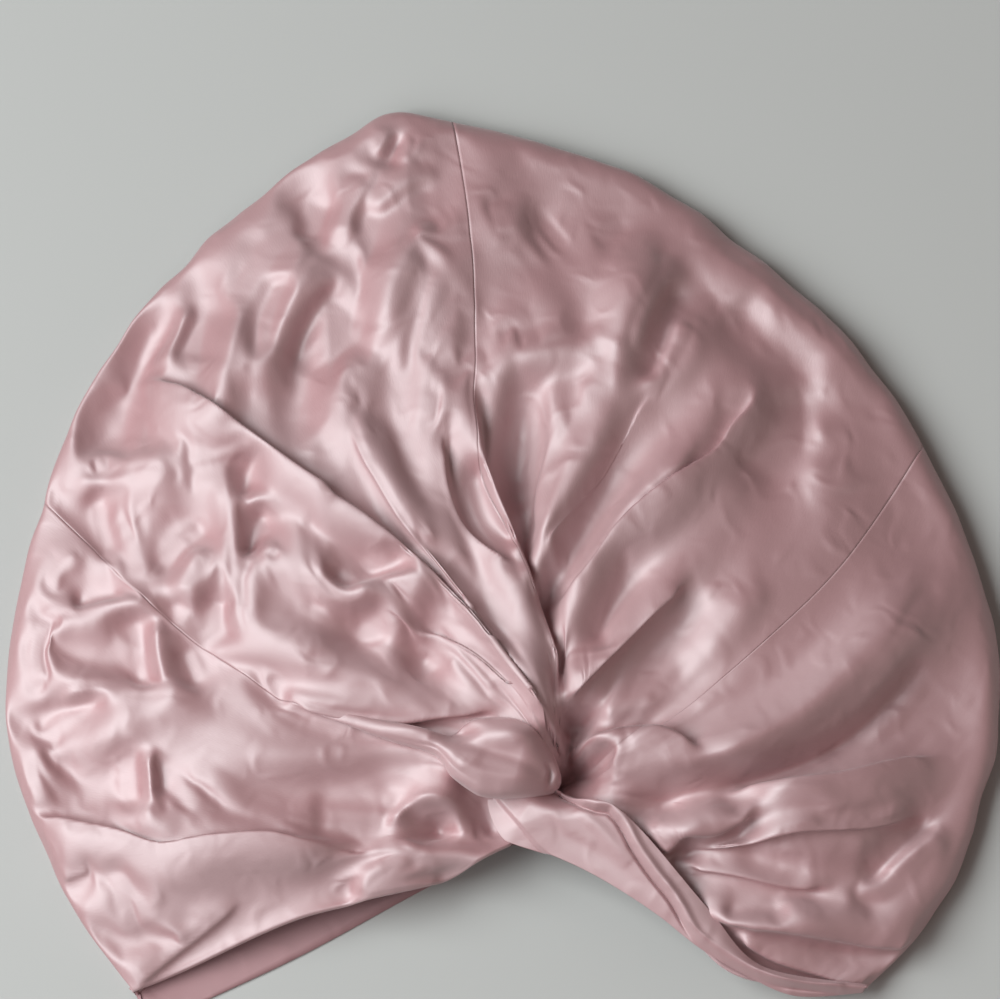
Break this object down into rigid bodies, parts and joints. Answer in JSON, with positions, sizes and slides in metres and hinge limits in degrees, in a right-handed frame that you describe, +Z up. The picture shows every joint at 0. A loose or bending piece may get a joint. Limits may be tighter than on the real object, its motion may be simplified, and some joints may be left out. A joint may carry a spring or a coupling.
{
  "type": "twist-front silk hair wrap",
  "caption": "Blush silk sleep bonnet lying flat on its back: a gathered crown drawn into a twisted knot over the face opening, with soft side bands.",
  "frame": {"origin": "middle of the lying wrap's box, on the table", "axes": "+X to the wearer's left as seen from the front (the picture's right), +Y from the face opening to the crown's top, +Z up from the table"},
  "size_m": [0.3322, 0.308, 0.0467],
  "materials": {
    "silk_front": "satin silk, soft lustre",
    "silk_back": "satin silk, soft lustre"
  },
  "bodies": {
    "root": {"back_panel": "silk_back", "crown_left": "silk_front", "crown_right": "silk_front", "side_left": "silk_front", "side_right": "silk_front", "twist_wrap": "silk_front", "twist_tail": "silk_front"}
  },
  "joints": []
}
